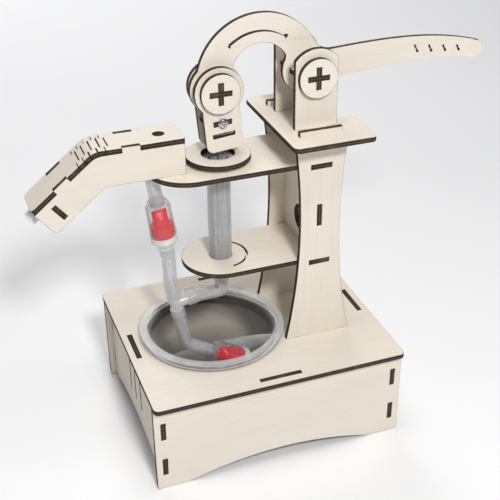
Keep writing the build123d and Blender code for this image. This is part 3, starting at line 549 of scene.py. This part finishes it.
def dress(node):
    """Keeps a CAD node and gives it its material and smooth shading."""
    obj = NODES[node]
    obj.data.materials.clear()
    obj.data.materials.append(FINISHES[SLOT_OF[node]])
    for polygon in obj.data.polygons:
        polygon.use_smooth = True
    obj.data.set_sharp_from_angle(angle=SMOOTH_ANGLE)


# ---------------------------------------------------------------- stage
FLOOR_HALF = 4.0
LIT_CENTRE = Vector((0.0, 0.0, 0.12))
SKY_TINT = rgb(0.93, 0.94, 1.0)
SKY_STRENGTH = 0.20
KEY_TOWARDS = Vector((-0.06, -0.77, 0.68)).normalized()
KEY_AWAY = 1.15
KEY_SIZE = 0.17
KEY_POWER = 8.5
OVERHEAD_FROM = Vector((0.0, -0.25, 1.5))
OVERHEAD_SIZE = 1.0
OVERHEAD_POWER = 7.4
WASH_AT = Vector((0.0, 1.6, 1.2))                  # lights the floor behind the object
WASH_AIM = Vector((0.0, 1.3, 0.0))
WASH_SIZE = 1.2
WASH_POWER = 15.0


def add_area(name, at, aim, size, power):
    data = bpy.data.lights.new(name, "AREA")
    data.shape = "DISK"
    data.size = size
    data.energy = power
    light = bpy.data.objects.new(name, data)
    light.location = at
    light.rotation_euler = (aim - at).to_track_quat("-Z", "Y").to_euler()
    bpy.context.scene.collection.objects.link(light)


def add_stage():
    """Pale floor at the feet, soft box lights and an even pale sky."""
    g = Graph("floor_paint")
    cloud = g.noise(g.stretch(g.place(), (3.0, 3.0, 3.0)), detail=3.0)
    tone = g.mix(g.spread(cloud, 0.3, 0.7), rgb(0.93, 0.93, 0.93), rgb(0.91, 0.91, 0.91))
    paint = g.finish(Base_Color=tone, Roughness=0.7)
    bm = bmesh.new()
    bmesh.ops.create_grid(bm, x_segments=8, y_segments=8, size=FLOOR_HALF)
    mesh = bpy.data.meshes.new("floor")
    bm.to_mesh(mesh)
    bm.free()
    mesh.materials.append(paint)
    floor = bpy.data.objects.new("floor", mesh)
    floor.location.z = cad_box[0][2]
    bpy.context.scene.collection.objects.link(floor)
    world = bpy.data.worlds.new("sky")
    world.use_nodes = True
    sky = world.node_tree.nodes["Background"]
    sky.inputs["Color"].default_value = SKY_TINT
    sky.inputs["Strength"].default_value = SKY_STRENGTH
    bpy.context.scene.world = world
    add_area("key", LIT_CENTRE + KEY_TOWARDS * KEY_AWAY, LIT_CENTRE, KEY_SIZE, KEY_POWER)
    add_area("overhead", LIT_CENTRE + OVERHEAD_FROM, LIT_CENTRE, OVERHEAD_SIZE, OVERHEAD_POWER)
    add_area("wash", WASH_AT, WASH_AIM, WASH_SIZE, WASH_POWER)
    bpy.context.scene.view_settings.view_transform = "Standard"


# ---------------------------------------------------------------- cup, valves and hoses
def shift(point, direction, distance):
    return (point[0] + direction[0] * distance, point[1] + direction[1] * distance)


def meet(point, direction, other, way):
    """Where the line from point along direction crosses the line from other along way."""
    cross = direction[0] * way[1] - direction[1] * way[0]
    gap = (other[0] - point[0], other[1] - point[1])
    return shift(point, direction, (gap[0] * way[1] - gap[1] * way[0]) / cross)


def plumb(angle):
    """Direction down, its foot leaning towards +X by the angle, in the XZ plane."""
    return (math.sin(math.radians(angle)), -math.cos(math.radians(angle)))


SPOUT_ARM = 46.8                                  # from the bend to the mouth
HOSE_PROUD = 5.4                                  # the spout hose beyond the mouth
HOSE_DEPTH = 4.7                                  # the spout hose below the side plates' upper edge
VALVE_TOP = (-55.6 + MIDDLE, 171.0)
VALVE_DIR = plumb(7.4)
VALVE_LEN = 32.9
BODY_TOP = 9.5                                    # the outlet valve's end below VALVE_TOP
BASE_LEN = 9.6                                    # a valve's white base
SEAT = 10.9                                       # foot of its clear body
HOSE_OVER = 2.7                                   # a hose's reach over a valve's spigot
TEE = (-46.3 + MIDDLE, 88.6)
TEE_DOWN = plumb(10.0)
TEE_SIDE = (-TEE_DOWN[1], TEE_DOWN[0])
TEE_ARM = 4.5
TEE_BRANCH = 8.0
PICKUP_END = (-25.5 + MIDDLE, 47.5)
PICKUP_DIR = (math.cos(math.radians(31.0)), -math.sin(math.radians(31.0)))
PUMP_TOP = 104.2
PUMP_LEVEL = 91.3                                 # level run of the hose under the syringe
CUP_FOOT = 8.0
CUP_RIM_R = 46.8
RIM_LOW = 63.5
LEDGE = 57.5                                      # above it, up to the rim, the wall is painted dark: painted shade for the hole's charred edge and its shadow seen through
HEEL = 30.0                                       # below it the wall is painted dark grey: painted shade for the shadowed table under the base seen through


def water_cup():
    """Thin cup with a rolled rim, a ledge under it, a round heel and a raised middle."""
    low = CUP_FOOT
    inside = [(0, low + 1.7), (12, low + 1.6), (27, low + 1.0)] + arc(30.6, low + 4.4, 3.5, -90, -5)
    inside += [(35.2, 22), (37.0, 42), (38.4, 56.0), (38.9, 56.7), (39.2, 58.0), (39.2, 65.0)]
    rim = arc(40.8, 66.2, 1.6, 180, 90) + [(41.2 + 0.4 * i, 67.76) for i in range(10)]
    rim += arc(45.2, 66.15, 1.6, 90, -45, 9) + [(45.0, 63.9), (44.2, 62.8), (43.7, 62.8), (43.6, 63.3)]
    lip = [(44.2, 64.0)] + arc(45.2, 66.15, 0.9, -45, 90, 6) + arc(41.0, 66.0, 1.0, 90, 180, 4)
    outside = [(40.0, 58.2), (39.8, 56.4), (39.3, 55.6), (37.9, 42), (36.1, 22)]
    heel = arc(30.8, low + 4.4, 4.4, -5, -90) + [(27.6, low), (26.6, low + 0.3)]
    heel += [(12, low + 0.9), (0, low + 1.0)]
    place = Matrix.Translation((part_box("water_cup")[0][0] + CUP_RIM_R * MM, 0, 0))

    def cloud(r, z):
        """Milky rings along the rim; painted shade as dark grey just under it and low down; nearly clear,
        faintly grey, between.
        """
        if z > RIM_LOW:
            return 0.50 + 0.38 * math.cos((r - 41.2) * math.pi)
        # Values below zero are painted shade: dark under the rim and low down.
        if z > LEDGE:
            return -1.3
        return -1.0 if z < HEEL else -0.18

    profile = inside + rim + lip + outside + heel
    cup = turned("cup_shell", place, profile, FINISHES["clear_plastic"], cloud, steps=128)
    settle(cup, "water_cup")


LIPS_FROM = 20.2                                  # height where the duckbill starts to close
LIPS_LENGTH = 6.2
LIPS_CLOSED = 0.83


def flattened(x, y, z):
    """Closes the duckbill's column to a pair of lips across its top."""
    share = min(max((z - LIPS_FROM) / LIPS_LENGTH, 0.0), 1.0)
    share = share * share * (3 - 2 * share)
    return x * (1 - LIPS_CLOSED * share), y


def check_valve(which, outlet, direction):
    """Clear body with sloped shoulders, red duckbill and white barbed base."""
    inlet = shift(outlet, direction, VALVE_LEN)
    up = Vector((-direction[0], 0, -direction[1]))
    place = frame_at(Vector((inlet[0], 0, inlet[1])) * MM, up)
    top = VALVE_LEN
    body = [(8.2, SEAT)] + arc(7.9, SEAT + 1.2, 0.3, 0, 80, 3) + [(7.9, SEAT + 1.9)]
    body += arc(6.6, top - 4.0, 1.0, 5, 52, 5) + arc(5.2, top - 0.5, 0.5, 45, 90, 3)
    body += arc(4.8, top - 0.3, 0.3, 90, 180, 3)
    body += [(4.5, top - 3.0), (2.7, top - 3.0), (2.85, top + 0.6), (2.5, top + 2.0), (1.7, top + 2.0)]
    body += [(1.7, top - 4.0), (5.6, top - 4.1)] + arc(6.0, top - 5.2, 0.9, 80, 5, 4) + [(7.4, SEAT)]

    def shoulder(r, z):
        """Milky where the wall is thick: at the neck and round the foot."""
        if z > top - 3.4:
            return 0.8
        return 0.5 if z < SEAT + 1.6 else 0.0

    shell = turned(which + "_clear_body", place, body, FINISHES["valve_clear"], shoulder)
    settle(shell, which + "_valve_body")
    bill = [(0, 16.5), (3.6, 15.6), (4.1, BASE_LEN + 0.05), (7.2, BASE_LEN + 0.05), (7.3, BASE_LEN + 0.3)]
    bill += [(7.3, SEAT - 0.1), (7.12, SEAT + 0.05), (7.05, SEAT + 2.0), (6.96, BASE_LEN + 6.6)]
    bill += arc(6.2, BASE_LEN + 6.6, 0.75, 5, 85, 5) + [(5.0, BASE_LEN + 7.6), (4.68, BASE_LEN + 8.2)]
    bill += [(4.62, 20.2), (4.62, 21.4), (4.65, 22.6), (4.65, 23.8), (4.62, 25.0)]
    bill += [(4.55, 25.9), (4.3, 26.3), (3.8, 26.4), (0, 26.4)]
    settle(turned(which + "_duckbill", place, bill, FINISHES["red_rubber"], shape=flattened),
           which + "_valve_duckbill")
    base = [(1.7, -5.0), (2.4, -5.0), (2.85, -3.8), (2.5, -3.5), (2.8, -2.2), (2.5, -1.9), (2.55, 0.0)]
    base += [(4.5, 0.0)] + arc(4.6, 0.4, 0.3, -60, 0, 3) + [(5.0, 1.4), (7.4, BASE_LEN - 4.6)]
    base += arc(7.7, BASE_LEN - 3.4, 0.5, -40, 0, 3) + [(8.2, BASE_LEN - 2.2), (8.05, BASE_LEN - 2.0)]
    base += [(8.05, BASE_LEN - 1.6), (8.2, BASE_LEN - 1.4), (8.2, BASE_LEN - 0.1)]
    base += [(8.1, BASE_LEN), (1.7, BASE_LEN)]
    settle(turned(which + "_base", place, base, FINISHES["white_plastic"]), which + "_valve_base")


def piston():
    """Rubber piston on the plunger: a blunt cone, two round sealing lips and a socket behind."""
    low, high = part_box("plunger_seal")
    place = Matrix.Translation(((low[0] + high[0]) / 2, 0, low[2]))
    profile = [(0, 0.05), (2.6, 0.35), (5.2, 0.75)] + arc(5.5, 1.4, 0.45, -60, 60, 5) + [(5.5, 2.4)]
    profile += [(5.45, 2.8), (5.45, 4.2), (5.5, 4.6)] + arc(5.5, 5.3, 0.45, -60, 70, 5)
    profile += [(5.2, 6.4), (1.9, 6.45), (2.7, 3.2), (1.7, 2.0), (0, 1.95)]
    settle(turned("piston_rubber", place, profile, FINISHES["seal_rubber"], steps=48), "plunger_seal")


def route(start, direction, steps):
    """Points along a direction from a start, at the given distances."""
    return [shift(start, direction, step) for step in steps]


def pump_hoses():
    """The four hoses, along the routes that the CAD gives them."""
    arm = (-math.cos(SPOUT_DROP), -math.sin(SPOUT_DROP))
    below = (math.sin(SPOUT_DROP), -math.cos(SPOUT_DROP))
    mouth = shift(shift(BEND, arm, SPOUT_ARM + HOSE_PROUD), below, HOSE_DEPTH)
    corner = (BEND[0] + HOSE_DEPTH * math.tan(SPOUT_DROP / 2), BEND[1] - HOSE_DEPTH)
    elbow = meet(VALVE_TOP, VALVE_DIR, corner, (1, 0))
    foot = shift(VALVE_TOP, VALVE_DIR, BODY_TOP + HOSE_OVER)
    spout = route(mouth, arm, (0, -18, -34)) + [corner, shift(elbow, (-1, 0), 10)]
    spout += route(elbow, VALVE_DIR, (0, 9)) + route(foot, VALVE_DIR, (-9, 0))

    start = shift(VALVE_TOP, VALVE_DIR, BODY_TOP + VALVE_LEN)
    end = shift(TEE, TEE_DOWN, -TEE_ARM)
    riser = route(start, VALVE_DIR, (0, 4, 8)) + route(end, TEE_DOWN, (-10, -5, 0))

    pump_x = (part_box("syringe_barrel")[0][0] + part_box("syringe_barrel")[1][0]) / 2 / MM
    side = shift(TEE, TEE_SIDE, TEE_BRANCH)
    turn = (pump_x, PUMP_LEVEL)
    kink = meet(side, TEE_SIDE, turn, (1, 0))
    pump = route((pump_x, PUMP_TOP), (0, -1), (0, 3, 6)) + route(turn, (-1, 0), (0, 6.5))
    pump += route(kink, (1, 0), (3, 0)) + route(side, TEE_SIDE, (2, 0))

    below_tee = shift(TEE, TEE_DOWN, TEE_ARM)
    curl = meet(below_tee, TEE_DOWN, PICKUP_END, PICKUP_DIR)
    pickup = route(below_tee, TEE_DOWN, (0, 8)) + route(curl, TEE_DOWN, (-8, 0))
    pickup += route(PICKUP_END, PICKUP_DIR, (-8, HOSE_OVER))

    for name, points, flared in (("spout", spout, (False, True)), ("riser", riser, (True, True)),
                                 ("pump", pump, (True, True)), ("pickup", pickup, (True, False))):
        settle(hose("tube_" + name, points, flared), name + "_hose")


# ---------------------------------------------------------------- build
for index, (node, (normal, along)) in enumerate(FLAT_SHEETS.items()):
    sheet_piece(node, index, normal, along)
sheet_piece("spout_top_plate", len(FLAT_SHEETS), Z, X, bend_depth, bend_run)
water_cup()
check_valve("outlet", shift(VALVE_TOP, VALVE_DIR, BODY_TOP), VALVE_DIR)
check_valve("inlet", PICKUP_END, PICKUP_DIR)
piston()
pump_hoses()
for node in ("syringe_barrel", "plunger_rod", "tee_connector", "link_screw", "link_nut"):
    dress(node)
add_stage()
add_camera()
